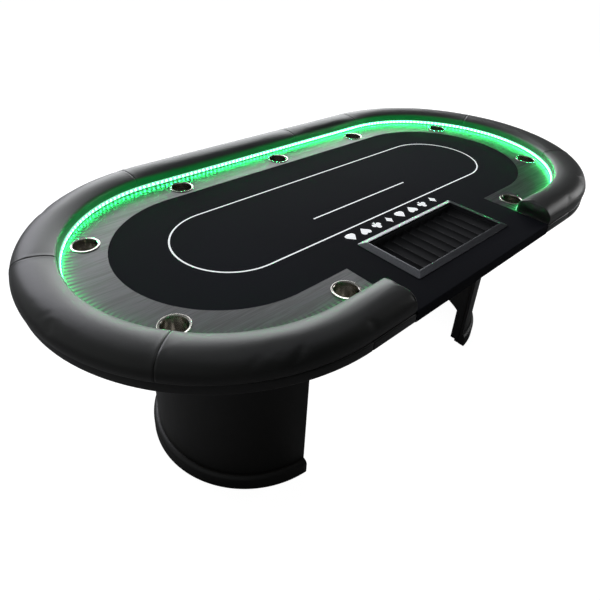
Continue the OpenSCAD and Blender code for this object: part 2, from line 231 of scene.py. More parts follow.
# %% [markdown]
# ## Studio
# A pale seamless floor, two window-like softboxes behind the table, and weaker fills. The
# table is almost all black, so its form is read from what it reflects: the long soft sheen on
# the armrest's back and left, and on the racetrack, comes from those two lights. The floor is
# paler to the lens than to the table, which keeps the black undersides black.

# %% Floor, world and lights
bpy.ops.object.select_all(action="DESELECT")
bpy.ops.mesh.primitive_plane_add(size=40, location=(0, 0, 0))
floor_plane = bpy.context.object
floor_plane.name = "studio_floor"
floor_material, tree, shader, place = surface("matt_white_studio_floor", Roughness=1.0,
                                              Specular_IOR_Level=0.0)
shader.inputs["Base Color"].default_value = srgb("#8c8c8c")
shader.inputs["Emission Color"].default_value = (1, 1, 1, 1)
seen = add(tree, "ShaderNodeLightPath").outputs["Is Camera Ray"]
glow = add(tree, "ShaderNodeMath", {"operation": "MULTIPLY", 1: 0.97}, _0=seen)
tree.links.new(glow.outputs[0], shader.inputs["Emission Strength"])
floor_plane.data.materials.append(floor_material)

scene.view_settings.view_transform = "Standard"
world = bpy.data.worlds.new("soft_studio")
scene.world = world
world.use_nodes = True
background = world.node_tree.nodes["Background"]
background.inputs["Color"].default_value = srgb("#f2f4f6")
# the room is brighter on the window's side and dim on the dealer's right
toward = add(world.node_tree, "ShaderNodeTexCoord").outputs["Generated"]
window_side = add(world.node_tree, "ShaderNodeVectorMath",
                  {"operation": "DOT_PRODUCT", 1: (-0.6, 0.8, 0)}, _0=toward)
room = add(world.node_tree, "ShaderNodeMapRange",
           {"From Min": -0.7, "To Min": 0.03, "To Max": 0.42}, Value=window_side.outputs["Value"])
to_lens = add(world.node_tree, "ShaderNodeLightPath").outputs["Is Camera Ray"]
either = add(world.node_tree, "ShaderNodeMath", {"operation": "MAXIMUM"}, _0=room.outputs["Result"],
             _1=to_lens)
world.node_tree.links.new(either.outputs[0], background.inputs["Strength"])


def softbox(name, place, aim, size, power, tint="#ffffff"):
    light = bpy.data.lights.new(name, "AREA")
    light.shape = "RECTANGLE"
    light.size, light.size_y = size
    light.energy = power
    light.color = srgb(tint)[:3]
    o = bpy.data.objects.new(name, light)
    scene.collection.objects.link(o)
    o.location = place
    o.rotation_euler = (Vector(aim) - Vector(place)).to_track_quat("-Z", "Y").to_euler()


softbox("window_behind", (2.8, 4.4, 2.4), (0.2, 0, 0.8), (5.2, 3.2), 245, "#fbfdff")
softbox("window_left", (-0.9, 4.4, 3.0), (-0.8, 0, 0.8), (2.2, 2.8), 76, "#f6f6ff")
softbox("fill_overhead", (0.2, -0.6, 3.2), (0, 0, 0.7), (3.0, 2.0), 8, "#f6f8ff")
softbox("side_right", (4.2, -1.6, 1.5), (0.9, -0.2, 0.75), (1.0, 1.6), 26, "#ffffff")

# %% [markdown]
# ## Materials
# Each finish is named for what the real one is. Soft, glossy and printed surfaces differ
# mostly in roughness and in the size of their texture, so each pattern is set from a size in
# millimetres, on Object coordinates, which are metres here.

# %% [markdown]
# ** Black vinyl.** PVC leathercloth is embossed with a pebbled leather grain about a
# millimetre across. It is satin: dark where nothing bright is mirrored, and grey with a broad
# soft sheen where the window is. Its inner face above the light strip has a painted green glow,
# an emission in the material that stands in for the strip's light.

# %% Vinyl
PEBBLE = 1.6 * MM
CREASE = 14 * MM   # soft unevenness of the foam under the skin


def vinyl(name, dark, light, roughness, lit=0.0):
    material, tree, shader, place = surface(name, IOR=1.5, Specular_IOR_Level=0.55,
                                            Sheen_Weight=0.04, Sheen_Roughness=0.5)
    grain = add(tree, "ShaderNodeTexVoronoi", {"Scale": 1 / PEBBLE}, Vector=place)
    mottle = add(tree, "ShaderNodeTexNoise", {"Scale": 9.0, "Detail": 4.0}, Vector=place)
    tree.links.new(two_tone(tree, mottle.outputs["Fac"], dark, light, 0.3, 0.7),
                   shader.inputs["Base Color"])
    rough = add(tree, "ShaderNodeMapRange",
                {"To Min": roughness - 0.04, "To Max": roughness + 0.06},
                Value=mottle.outputs["Fac"])
    tree.links.new(rough.outputs["Result"], shader.inputs["Roughness"])
    creases = add(tree, "ShaderNodeTexNoise", {"Scale": 1 / CREASE, "Detail": 3.0}, Vector=place)
    height = add(tree, "ShaderNodeMath", {"operation": "MULTIPLY_ADD", 1: 2.0},
                 _0=creases.outputs["Fac"], _2=grain.outputs["Distance"])
    bump = add(tree, "ShaderNodeBump", {"Strength": 0.14, "Distance": 0.35 * MM},
               Height=height.outputs[0])
    if lit:
        # painted glow: emission on the inner face that stands in for the strip's green light
        painted_strip_glow(tree, shader, place, 5 * MM, lit, 0.0)
    tree.links.new(bump.outputs["Normal"], shader.inputs["Normal"])
    return material


# the last value is the strength of the painted green glow on the armrest's inner face
rail_vinyl = vinyl("black_vinyl_leathercloth", "#141513", "#1d1f1c", 0.42, 0.11)
skirt_vinyl = vinyl("black_vinyl_on_board", "#0c0d0b", "#121310", 0.44)

# %% [markdown]
# **Speed cloth.** A tight polyester weave, printed black with a cold cast. It is quite matt,
# with a faint sheen at low angles, and a fine speckle of threads. The threads are 0.4 mm
# apart, too fine to show, so they are drawn as coarse as 1.5 mm.

# %% Cloth
THREAD = 1.5 * MM
cloth_material, tree, shader, place = surface("printed_polyester_speed_cloth", Roughness=0.9,
                                              IOR=1.45, Specular_IOR_Level=0.08,
                                              Sheen_Weight=0.02, Sheen_Roughness=0.5)
shader.inputs["Sheen Tint"].default_value = srgb("#5a6070")
threads = add(tree, "ShaderNodeTexNoise", {"Scale": 1 / THREAD, "Detail": 1.0}, Vector=place)
wide = add(tree, "ShaderNodeTexNoise", {"Scale": 1.6, "Detail": 2.0}, Vector=place)
both = add(tree, "ShaderNodeMath", {"operation": "MULTIPLY_ADD", 1: 0.5}, _0=threads.outputs["Fac"],
           _2=wide.outputs["Fac"])
tree.links.new(two_tone(tree, both.outputs[0], "#101115", "#17181e", 0.45, 0.95),
               shader.inputs["Base Color"])
bump = add(tree, "ShaderNodeBump", {"Strength": 0.25, "Distance": 0.15 * MM},
           Height=threads.outputs["Fac"])
tree.links.new(bump.outputs["Normal"], shader.inputs["Normal"])

ink_material, tree, shader, place = surface("white_print_ink_with_painted_glow", Roughness=0.75, IOR=1.45,
                                            Specular_IOR_Level=0.3)
# painted brightness: the ink glows a little, an emission that stands in for light falling on it
shader.inputs["Emission Color"].default_value = srgb("#f4f6f8")
shader.inputs["Emission Strength"].default_value = 0.5
weave = add(tree, "ShaderNodeTexNoise", {"Scale": 1 / THREAD, "Detail": 1.0}, Vector=place)
tree.links.new(two_tone(tree, weave.outputs["Fac"], "#cfd1d3", "#f0f1f2", 0.3, 0.7),
               shader.inputs["Base Color"])

# %% [markdown]
# ** Woodgrain laminate.** The racetrack is board faced with a black-ash paper laminate. The
# grain runs along the table: fine dark pores a few centimetres long and under a millimetre
# wide, drawn 2 mm wide so that they show, over slow bands of lighter grey. The resin face is
# semi-gloss. Beside the light strip it has a painted green glow, an emission that stands in for
# the strip's spilt light, in one streak for each diode.

# %% Laminate
material_laminate, tree, shader, place = surface("black_ash_laminate", IOR=1.5,
                                                 Specular_IOR_Level=0.48)
stretch = add(tree, "ShaderNodeMapping", {"Scale": (3.0, 60.0, 60.0)}, Vector=place)
bands = add(tree, "ShaderNodeTexNoise", {"Scale": 1.0, "Detail": 5.0, "Distortion": 0.6},
            Vector=stretch.outputs[0])
fine = add(tree, "ShaderNodeMapping", {"Scale": (14.0, 480.0, 480.0)}, Vector=place)
pores = add(tree, "ShaderNodeTexNoise", {"Scale": 1.0, "Detail": 3.0}, Vector=fine.outputs[0])
mixed = add(tree, "ShaderNodeMath", {"operation": "MULTIPLY"}, _0=bands.outputs["Fac"],
            _1=pores.outputs["Fac"])
tree.links.new(two_tone(tree, mixed.outputs[0], "#111013", "#39373d", 0.18, 0.32),
               shader.inputs["Base Color"])
rough = add(tree, "ShaderNodeMapRange",
            {"From Min": 0.1, "From Max": 0.4, "To Min": 0.44, "To Max": 0.32},
            Value=mixed.outputs[0])
tree.links.new(rough.outputs["Result"], shader.inputs["Roughness"])
# painted glow: streaked emission on the racetrack that stands in for the strip's green light
painted_strip_glow(tree, shader, place, 24 * MM, 0.5, 0.6)
bump = add(tree, "ShaderNodeBump", {"Strength": 0.08, "Distance": 0.10 * MM},
           Height=pores.outputs["Fac"])
tree.links.new(bump.outputs["Normal"], shader.inputs["Normal"])

# %% [markdown]
# **Steel, aluminium and other metals.** Spun stainless keeps faint rings round its axis from
# the lathe, and anodised aluminium is matt with long brush lines. A metal's colour is its
# reflection, so roughness and fine bump do most of the work.

# %% Metals
def metal(name, light, dark, roughness, line_scale, bump_depth):
    material, tree, shader, place = surface(name, Metallic=1.0)
    lines = add(tree, "ShaderNodeMapping", {"Scale": line_scale}, Vector=place)
    brushed = add(tree, "ShaderNodeTexNoise", {"Scale": 1.0, "Detail": 3.0},
                  Vector=lines.outputs[0])
    tree.links.new(two_tone(tree, brushed.outputs["Fac"], dark, light, 0.3, 0.7),
                   shader.inputs["Base Color"])
    rough = add(tree, "ShaderNodeMapRange",
                {"To Min": roughness - 0.06, "To Max": roughness + 0.06},
                Value=brushed.outputs["Fac"])
    tree.links.new(rough.outputs["Result"], shader.inputs["Roughness"])
    bump = add(tree, "ShaderNodeBump", {"Strength": 0.2, "Distance": bump_depth},
               Height=brushed.outputs["Fac"])
    tree.links.new(bump.outputs["Normal"], shader.inputs["Normal"])
    return material


steel = metal("spun_stainless_steel", "#c9c6c0", "#aba79f", 0.20, (20, 20, 500), 0.004 * MM)
aluminium = metal("satin_anodised_aluminium", "#6c6d71", "#56575b", 0.36, (30, 900, 900), 0.03 * MM)
zinc = metal("zinc_plated_steel", "#c9ccce", "#9da1a5", 0.38, (200, 200, 200), 0.05 * MM)
brass = metal("turned_brass", "#d8b878", "#b6924f", 0.32, (300, 300, 900), 0.03 * MM)
nickel = metal("nickel_plated_brass", "#d2cdc2", "#b4afa4", 0.22, (200, 200, 400), 0.02 * MM)

# %% [markdown]
# **Boards and timber.** The pedestals are board with a black satin lacquer; the faint
# upright grain of the face veneer shows through it. The parts under the top are bare fibre
# board and planed pine.

# %% Boards
def board(name, dark, light, roughness, grain, bump_depth, spec=0.5):
    material, tree, shader, place = surface(name, IOR=1.5, Specular_IOR_Level=spec)
    along = add(tree, "ShaderNodeMapping", {"Scale": grain}, Vector=place)
    fibre = add(tree, "ShaderNodeTexNoise", {"Scale": 1.0, "Detail": 4.0, "Distortion": 0.4},
                Vector=along.outputs[0])
    tree.links.new(two_tone(tree, fibre.outputs["Fac"], dark, light, 0.3, 0.7),
                   shader.inputs["Base Color"])
    rough = add(tree, "ShaderNodeMapRange",
                {"To Min": roughness - 0.07, "To Max": roughness + 0.07},
                Value=fibre.outputs["Fac"])
    tree.links.new(rough.outputs["Result"], shader.inputs["Roughness"])
    bump = add(tree, "ShaderNodeBump", {"Strength": 0.2, "Distance": bump_depth},
               Height=fibre.outputs["Fac"])
    tree.links.new(bump.outputs["Normal"], shader.inputs["Normal"])
    return material


lacquer = board("black_satin_lacquered_board", "#0b0b09", "#11110e", 0.46, (160, 160, 7), 0.06 * MM)
bare_board = board("bare_fibre_board", "#8a6c4b", "#a58560", 0.85, (400, 400, 400), 0.1 * MM, 0.3)
pine = board("planed_pine", "#a98552", "#cba873", 0.7, (6, 90, 90), 0.1 * MM, 0.35)

# %% [markdown]
# **Plastics.** The chip tray's tub is vacuum-formed black ABS with a fine haircell texture.
# The glides and the controller's case are plain moulded plastic.

# %% Plastics
def plastic(name, dark, light, roughness, cell, depth):
    material, tree, shader, place = surface(name, IOR=1.53, Specular_IOR_Level=0.5)
    cells = add(tree, "ShaderNodeTexNoise", {"Scale": 1 / cell, "Detail": 2.0}, Vector=place)
    tree.links.new(two_tone(tree, cells.outputs["Fac"], dark, light, 0.3, 0.7),
                   shader.inputs["Base Color"])
    rough = add(tree, "ShaderNodeMapRange",
                {"To Min": roughness - 0.05, "To Max": roughness + 0.05},
                Value=cells.outputs["Fac"])
    tree.links.new(rough.outputs["Result"], shader.inputs["Roughness"])
    bump = add(tree, "ShaderNodeBump", {"Strength": 0.3, "Distance": depth},
               Height=cells.outputs["Fac"])
    tree.links.new(bump.outputs["Normal"], shader.inputs["Normal"])
    return material


tub_plastic = plastic("haircell_black_abs", "#04060a", "#090c12", 0.66, 1.2 * MM, 0.05 * MM)
moulded = plastic("moulded_black_plastic", "#101010", "#191919", 0.5, 1.0 * MM, 0.1 * MM)

# %% [markdown]
# **The light strip.** Sixty green diodes to the metre sit in a clear silicone sleeve. The
# sleeve scatters some of the light along itself, so it glows too, less than the diodes.

# %% Light strip materials
GREEN_CORE = srgb("#30ff78")
GREEN_GLOW = srgb("#9effd0")
sleeve, tree, shader, place = surface("clear_silicone_sleeve", Roughness=0.35, IOR=1.41)
shader.inputs["Base Color"].default_value = srgb("#9fe8bd")
shader.inputs["Emission Color"].default_value = GREEN_GLOW
cloudy = add(tree, "ShaderNodeTexNoise", {"Scale": 120.0, "Detail": 2.0}, Vector=place)
strength = add(tree, "ShaderNodeMapRange", {"To Min": 0.8, "To Max": 1.1},
               Value=cloudy.outputs["Fac"])
tree.links.new(strength.outputs["Result"], shader.inputs["Emission Strength"])

diode, tree, shader, place = surface("lit_green_diode", Roughness=0.3)
shader.inputs["Base Color"].default_value = srgb("#e8fff0")
shader.inputs["Emission Color"].default_value = GREEN_CORE
shader.inputs["Emission Strength"].default_value = 170.0

# %% Give every CAD node its finish
FINISH = {
    "mdf": bare_board, "timber": pine, "cloth": cloth_material, "laminate": material_laminate,
    "vinyl": rail_vinyl, "black_board": lacquer, "zinc_steel": zinc, "brass": brass,
    "led_silicone": sleeve, "black_plastic": moulded, "nickel": nickel,
    "satin_aluminium": aluminium, "stainless": steel,
}
slot_of = {part["node"]: part["material_slot"] for part in frame["record"]["subparts"]}
for name, node in nodes.items():
    node.data.materials.clear()
    node.data.materials.append(FINISH[slot_of[name]])
nodes["tray_tub"].data.materials[0] = tub_plastic
print(len(nodes), "CAD nodes have", len(FINISH), "finishes")

# %% [markdown]
# ## Armrest padding
# The armrest is foam under vinyl, stapled below a wooden core, and sewn from eight lengths.
# Its section is a low crown with a round inner shoulder and a fuller outer one. Each length
# starts as a circle of points placed on that section, carried round the table by Spin and
# Extrude, and then blown up a little with Cloth pressure, held where the vinyl is stapled and
# at each seam. That gives the soft dip at the seams that a plain sweep lacks. The sweep's own
# mesh is already even, so it needs no remesh, which would lose the clean lines of the crown.

# %% The armrest's section
CROWN_R, INNER_ROUND, OUTER_ROUND, TUCK_ROUND = 148 * MM, 13 * MM, 40 * MM, 26 * MM
CORE_IN, CORE_OUT, CORE_TOP = 459.7 * MM, 533.3 * MM, 28.3 * MM
FOOT, TUCK_Z = 0.3 * MM, -5.5 * MM
crown_c = (RAIL_OUT - 59 * MM, CROWN - CROWN_R)


def shoulder(r, round_r):
    """The centre of a shoulder round that touches the crown from inside."""
    return (r, crown_c[1] + sqrt((CROWN_R - round_r) ** 2 - (r - crown_c[0]) ** 2))


inner_c = shoulder(RAIL_IN + INNER_ROUND, INNER_ROUND)
outer_c = shoulder(RAIL_OUT - OUTER_ROUND, OUTER_ROUND)
inner_turn = atan2(inner_c[1] - crown_c[1], inner_c[0] - crown_c[0])
outer_turn = atan2(outer_c[1] - crown_c[1], outer_c[0] - crown_c[0])


def arc(c, r, a0, a1, n):
    return [(c[0] + r * cos(a0 + (a1 - a0) * i / n), c[1] + r * sin(a0 + (a1 - a0) * i / n))
            for i in range(n + 1)]


def line(a, b, n):
    return [(a[0] + (b[0] - a[0]) * i / n, a[1] + (b[1] - a[1]) * i / n) for i in range(n)]


outside = (line((RAIL_IN, FOOT), (RAIL_IN, inner_c[1]), 4)
           + arc(inner_c, INNER_ROUND, pi, inner_turn, 6)
           + arc(crown_c, CROWN_R, inner_turn, outer_turn, 8)[1:]
           + arc(outer_c, OUTER_ROUND, outer_turn, 0, 8)[1:]
           + arc((RAIL_OUT - TUCK_ROUND, outer_c[1]), TUCK_ROUND, 0, radians(-38), 4)[1:])
underside = (line((CORE_OUT, TUCK_Z), (CORE_OUT, CORE_TOP), 4)
             + line((CORE_OUT, CORE_TOP), (CORE_IN, CORE_TOP), 6)
             + line((CORE_IN, CORE_TOP), (CORE_IN, FOOT), 3) + [(CORE_IN, FOOT)])
SECTION = outside + underside
print(len(SECTION), "points in the section")

# %% Sweep a length of armrest
NEAR_SEAM = [3 * MM, 6 * MM]  # short steps beside a seam, so that its dip is narrow
STEP = 10 * MM                # length of the other steps
PAD_END = 7.7 * MM            # the closed end beside the dealer, past the end of the core
HALF_GAP = 0.5 * MM           # each length stops this far from the middle of its seam


def turn(end, angle, steps):
    # Spin turns clockwise about its axis for a positive angle, so the sign is changed
    bpy.ops.mesh.spin(steps=steps, angle=-radians(angle), center=(end, 0, SURFACE), axis=(0, 0, 1))


def run(distance, steps):
    for _ in range(steps):
        bpy.ops.mesh.extrude_region_move(TRANSFORM_OT_translate={"value": (distance / steps, 0, 0)})


def carry(moves):
    """Carry the selected ring round the table: ("turn", end, degrees) or ("run", metres)."""
    def go(kind, end, amount, steps):
        if kind == "turn":
            turn(end, amount, steps)
        else:
            run(amount, steps)

    for i, move in enumerate(moves):
        kind, end, amount = move[0], (move[1] if move[0] == "turn" else 0), move[-1]
        length = abs(amount) if kind == "run" else radians(abs(amount)) * (RAIL_IN + RAIL_OUT) / 2
        first = NEAR_SEAM if i == 0 else []
        last = NEAR_SEAM[::-1] if i == len(moves) - 1 else []
        for part in first:
            go(kind, end, amount * part / length, 1)
        middle = length - sum(first) - sum(last)
        go(kind, end, amount * middle / length, max(1, round(middle / STEP)))
        for part in last:
            go(kind, end, amount * part / length, 1)


def section_at(start):
    """A circle primitive whose points are put on the section, at a place on the table's line."""
    bpy.ops.object.select_all(action="DESELECT")
    bpy.ops.mesh.primitive_circle_add(vertices=len(SECTION), radius=0.05)
    pad = bpy.context.object
    for v, (r, z) in zip(pad.data.vertices, SECTION):
        if start[0] == "angle":
            a = radians(start[2])
            v.co = (start[1] + r * cos(a), r * sin(a), SURFACE + z)
        else:
            v.co = (start[1], start[2] * r, SURFACE + z)
    bpy.ops.object.mode_set(mode="EDIT")
    bpy.ops.mesh.select_all(action="SELECT")
    return pad


# %% [markdown]
# The two front lengths end beside the dealer. There the vinyl is folded over the end of the
# core, so the pocket for the core closes, the end is capped, and its edge is rounded.

# %% Close an end beside the dealer
SOLE = line((CORE_OUT, TUCK_Z), (CORE_IN, FOOT), len(underside) - 1) + [(CORE_IN, FOOT)]
LIP = 0.2 * MM                       # the step in which the pocket for the core closes
END_ROUND, ROUND_RINGS = 3 * MM, 3   # radius of the end's rounded edge, and its rings
CAP_RINGS, CAP_SHRINK = 3, 0.72      # rings across the end's flat, each this much smaller
HALF_WIDTH = (RAIL_OUT - RAIL_IN) / 2


def close_end(pad, side):
    """Close the pocket, carry the section past the core's end in rounding rings, and cap it."""
    run(-side * LIP, 1)
    bpy.ops.object.mode_set(mode="OBJECT")
    for v in pad.data.vertices:
        if v.select:
            r, z = abs(v.co.y), v.co.z - SURFACE
            k = min(range(len(SECTION)), key=lambda k: hypot(SECTION[k][0] - r, SECTION[k][1] - z))
            if k >= len(outside):
                v.co.y = SOLE[k - len(outside)][0] * (1 if v.co.y > 0 else -1)
                v.co.z = SURFACE + SOLE[k - len(outside)][1]
    bpy.ops.object.mode_set(mode="EDIT")
    run(-side * (PAD_END - LIP - END_ROUND), 1)
    middle = Vector((0, -(RAIL_IN + RAIL_OUT) / 2, SURFACE))
    size = 1.0
    for i in range(1, ROUND_RINGS + 1):
        a = pi / 2 * i / ROUND_RINGS
        before = pi / 2 * (i - 1) / ROUND_RINGS
        run(-side * END_ROUND * (sin(a) - sin(before)), 1)
        wanted = 1 - (1 - cos(a)) * END_ROUND / HALF_WIDTH
        bpy.ops.transform.resize(value=(1, wanted / size, wanted / size), center_override=middle)
        size = wanted
    for _ in range(CAP_RINGS):
        bpy.ops.mesh.extrude_region_move(TRANSFORM_OT_translate={"value": (0, 0, 0)})
        bpy.ops.transform.resize(value=(1, CAP_SHRINK, CAP_SHRINK), center_override=middle)
    bpy.ops.mesh.edge_face_add()


# %% [markdown]
# The dip at a seam: the last ring of each length is drawn in by DRAW_IN and the next one by
# DRAW_NEXT, which is what a row of stitches does to padded vinyl. The held points are listed
# in a vertex group: the inner face behind the light strip, the pocket, the stapled underside
# and the seams.

# %% Blow up the padding
DRAW_IN, DRAW_NEXT = 2.2 * MM, 0.5 * MM
SEAM_RING, NEXT_RING = 1 * MM, 4.5 * MM   # a point this near a seam is on that ring
SLACK = 1.5 * MM   # the skin starts this much inside its final shape
CAP = 4.0 * MM     # the most that a point may move
pads = []


def draw_in(pad, test, depth):
    pick(pad, "VERT", test)
    bpy.ops.transform.shrink_fatten(value=-depth)
    bpy.ops.object.mode_set(mode="OBJECT")


def in_order(mesh):
    """Number a mesh's points and faces by their place. The operators number them differently
    on each run, and the result of the pressure depends on the numbering."""
    rounded = [tuple(round(c, 6) for c in v.co) for v in mesh.vertices]
    order = sorted(range(len(rounded)), key=rounded.__getitem__)
    number = {old: new for new, old in enumerate(order)}
    edges = sorted(sorted(number[i] for i in edge.vertices) for edge in mesh.edges)
    faces = []
    for face in mesh.polygons:
        ring = [number[i] for i in face.vertices]
        first = ring.index(min(ring))
        faces.append(ring[first:] + ring[:first])
    mesh.clear_geometry()
    mesh.from_pydata([rounded[i] for i in order], edges, sorted(faces))


def make_pad(name, start, moves, seams, tip=0):
    """seams are tests that say how far a point is from each sewn end of this length."""
    pad = section_at(start)
    carry(moves)
    if tip:
        close_end(pad, tip)
    bpy.ops.mesh.select_all(action="SELECT")
    bpy.ops.mesh.remove_doubles(threshold=0.02 * MM)
    bpy.ops.mesh.normals_make_consistent(inside=False)
    bpy.ops.object.mode_set(mode="OBJECT")

    def skin(co):
        z = co.z - SURFACE
        r = from_spine(co)
        pocket = CORE_IN - 0.1 * MM < r < CORE_OUT + 0.1 * MM and z < CORE_TOP + 0.1 * MM
        if pocket and tip and abs(co.x) < GAP_HALF + PAD_END - 0.1 * MM and z > 2 * MM:
            pocket = False
        behind_strip = r < RAIL_IN + 0.5 * MM and z < 22 * MM
        stapled = z < -2 * MM
        return not (pocket or behind_strip or stapled or z < 1 * MM)

    for far in seams:
        draw_in(pad, lambda co: skin(co) and far(co) < SEAM_RING, DRAW_IN)
        draw_in(pad, lambda co: skin(co) and SEAM_RING < far(co) < NEXT_RING, DRAW_NEXT)
    draw_in(pad, lambda co: skin(co) and all(far(co) > NEXT_RING for far in seams), SLACK)
    in_order(pad.data)
    held = pad.vertex_groups.new(name="held")
    held.add([v.index for v in pad.data.vertices
              if not skin(v.co) or any(far(v.co) < SEAM_RING for far in seams)], 1.0, "REPLACE")
    pad.name = name
    pads.append((pad, seams))
    return pad


def by_angle(end, at):
    """Distance of a point from a seam across a rounded end."""
    a = radians(at)
    return lambda co: abs(-(co.x - end) * sin(a) + co.y * cos(a)) - HALF_GAP


def by_x(at):
    return lambda co: abs(co.x - at) - HALF_GAP


trim = degrees(HALF_GAP / ((RAIL_IN + RAIL_OUT) / 2))  # half a seam's gap, as an angle
R, L = END_X, -END_X
TANGENT = GAP_HALF + PAD_END
make_pad("padding_front_right", ("angle", R, -SEAM_FRONT - trim),
         [("turn", R, -(90 - SEAM_FRONT - trim)), ("run", -(END_X - TANGENT))],
         [by_angle(R, -SEAM_FRONT)], tip=1)
make_pad("padding_right_end", ("angle", R, -SEAM_FRONT + trim),
         [("turn", R, SEAM_FRONT + SEAM_BACK - 2 * trim)],
         [by_angle(R, -SEAM_FRONT), by_angle(R, SEAM_BACK)])
make_pad("padding_right_back", ("angle", R, SEAM_BACK + trim),
         [("turn", R, 90 - SEAM_BACK - 2 * trim)], [by_angle(R, SEAM_BACK), by_angle(R, 90)])
make_pad("padding_back_right", ("x", R - HALF_GAP, 1),
         [("run", -(END_X - SEAM_X - 2 * HALF_GAP))], [by_x(R), by_x(SEAM_X)])
make_pad("padding_back_middle", ("x", SEAM_X - HALF_GAP, 1),
         [("run", -(SEAM_X - HALF_GAP + END_X)), ("turn", L, SEAM_TURN - trim)],
         [by_x(SEAM_X), by_angle(L, 90 + SEAM_TURN)])
make_pad("padding_back_left", ("angle", L, 90 + SEAM_TURN + trim),
         [("turn", L, 90 - SEAM_TURN - SEAM_BACK - 2 * trim)],
         [by_angle(L, 90 + SEAM_TURN), by_angle(L, 180 - SEAM_BACK)])
make_pad("padding_left_end", ("angle", L, 180 - SEAM_BACK + trim),
         [("turn", L, SEAM_BACK + SEAM_FRONT - 2 * trim)],
         [by_angle(L, 180 - SEAM_BACK), by_angle(L, 180 + SEAM_FRONT)])
make_pad("padding_front_left", ("angle", L, 180 + SEAM_FRONT + trim),
         [("turn", L, 90 - SEAM_FRONT - trim), ("run", END_X - TANGENT)],
         [by_angle(L, 180 + SEAM_FRONT)], tip=-1)

# %% Run the pressure on all eight lengths at once
before = {pad.name: [v.co.copy() for v in pad.data.vertices] for pad, _ in pads}
for pad, _ in pads:
    press = pad.modifiers.new("press", "CLOTH")
    press.settings.quality = 5
    press.settings.mass = 0.3
    press.settings.use_pressure = True
    press.settings.uniform_pressure_force = 4
    press.settings.vertex_group_mass = "held"
    press.settings.effector_weights.gravity = 0
for f in range(1, 21):
    scene.frame_set(f)
for pad, _ in pads:
    only(pad)
    bpy.ops.object.modifier_apply(modifier="press")
    moved = 0
    for v, old in zip(pad.data.vertices, before[pad.name]):
        step = v.co - old
        moved = max(moved, step.length)
        if step.length > CAP:
            v.co = old + step * (CAP / step.length)
    print(pad.name, f"moved up to {moved * 1000:.1f} mm")
scene.frame_set(1)

# %% [markdown]
# One subdivision smooths the section. The sewn ends are open rings until now; they are
# closed last, so that the flat hidden face stays one clean face.

# %% Finish the padding
PAD_NODES = {
    "padding_front_right": "rail_pad_front_right", "padding_right_end": "rail_pad_right_end",
    "padding_right_back": "rail_pad_right_back", "padding_back_right": "rail_pad_back_right",
    "padding_back_middle": "rail_pad_back_middle", "padding_back_left": "rail_pad_back_left",
    "padding_left_end": "rail_pad_left_end", "padding_front_left": "rail_pad_front_left",
}
for pad, seams in pads:
    only(pad)
    pad.vertex_groups.clear()
    smooth = pad.modifiers.new("smooth", "SUBSURF")
    smooth.levels = smooth.render_levels = 1
    bpy.ops.object.modifier_apply(modifier="smooth")
    for far in seams:
        pick(pad, "VERT", lambda co: far(co) < 0.4 * MM)
        bpy.ops.mesh.select_mode(type="EDGE")
        bpy.ops.mesh.edge_face_add()
    bpy.ops.object.mode_set(mode="OBJECT")
    bpy.ops.object.shade_smooth_by_angle(angle=radians(50))
    finish_piece(pad, pad.name, "table", rail_vinyl, [PAD_NODES[pad.name]])

# %% [markdown]
# ## Edges that catch the light
# Real edges are never knife sharp, and on a black object the thin bright line along an edge
# is most of what the eye gets. These pieces are copies of the CAD parts with their corners
# eased: the copy is merged, its flat faces are joined, and its sharp edges are bevelled.

# %% Ease the edges of a copied part
def eased(node_name, name, width, segments, material, body="table", angle=35):
    node = nodes[node_name]
    copy = bpy.data.objects.new(name, node.data.copy())
    scene.collection.objects.link(copy)
    only(copy)
    bpy.ops.object.mode_set(mode="EDIT")
    bpy.ops.mesh.select_all(action="SELECT")
    bpy.ops.mesh.remove_doubles(threshold=0.01 * MM)
    bpy.ops.mesh.dissolve_limited(angle_limit=radians(0.5))
    bpy.ops.object.mode_set(mode="OBJECT")
    bevel = copy.modifiers.new("ease", "BEVEL")
    bevel.width, bevel.segments, bevel.limit_method = width, segments, "ANGLE"
    bevel.angle_limit = radians(angle)
    bevel.use_clamp_overlap = True
    bpy.ops.object.modifier_apply(modifier="ease")
    bpy.ops.object.shade_smooth_by_angle(angle=radians(angle))
    return finish_piece(copy, name, body, material, [node_name])


for side in ("left", "right", "back", "front_left", "front_right"):
    eased("skirt_" + side, "skirt_vinyl_" + side, 4 * MM, 4, skirt_vinyl)
eased("tray_bezel", "chip_tray_bezel", 1.0 * MM, 3, aluminium, "chip_tray", 14)
for side in ("left", "right"):
    eased("pedestal_panel_" + side, "pedestal_front_" + side, 1.5 * MM, 2, lacquer)

# %% [markdown]
# ## Playing cloth
# One printed cloth covers the middle of the table and the dealer's place, where it turns down
# over the apron. It is made flat as a circle primitive placed on the outline, given a
# thickness, cut for the chip tray, and its front edge is spun over the apron's corner.

# %% Cloth plan
CLOTH_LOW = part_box("playing_cloth")[0]
FRONT_X = GAP_HALF - 0.5 * MM
FOLD_R = 4 * MM                       # radius of the fold over the apron
THICK = 2 * MM
FOLD_Y = CLOTH_LOW.y + FOLD_R
SINK = 0.6 * MM                       # the cloth lies this far below the racetrack


def stadium_points(half, radius, steps):
    right_half = arc((half, 0), radius, -pi / 2, pi / 2, steps)
    left_half = arc((-half, 0), radius, pi / 2, 3 * pi / 2, steps)
    return right_half + left_half


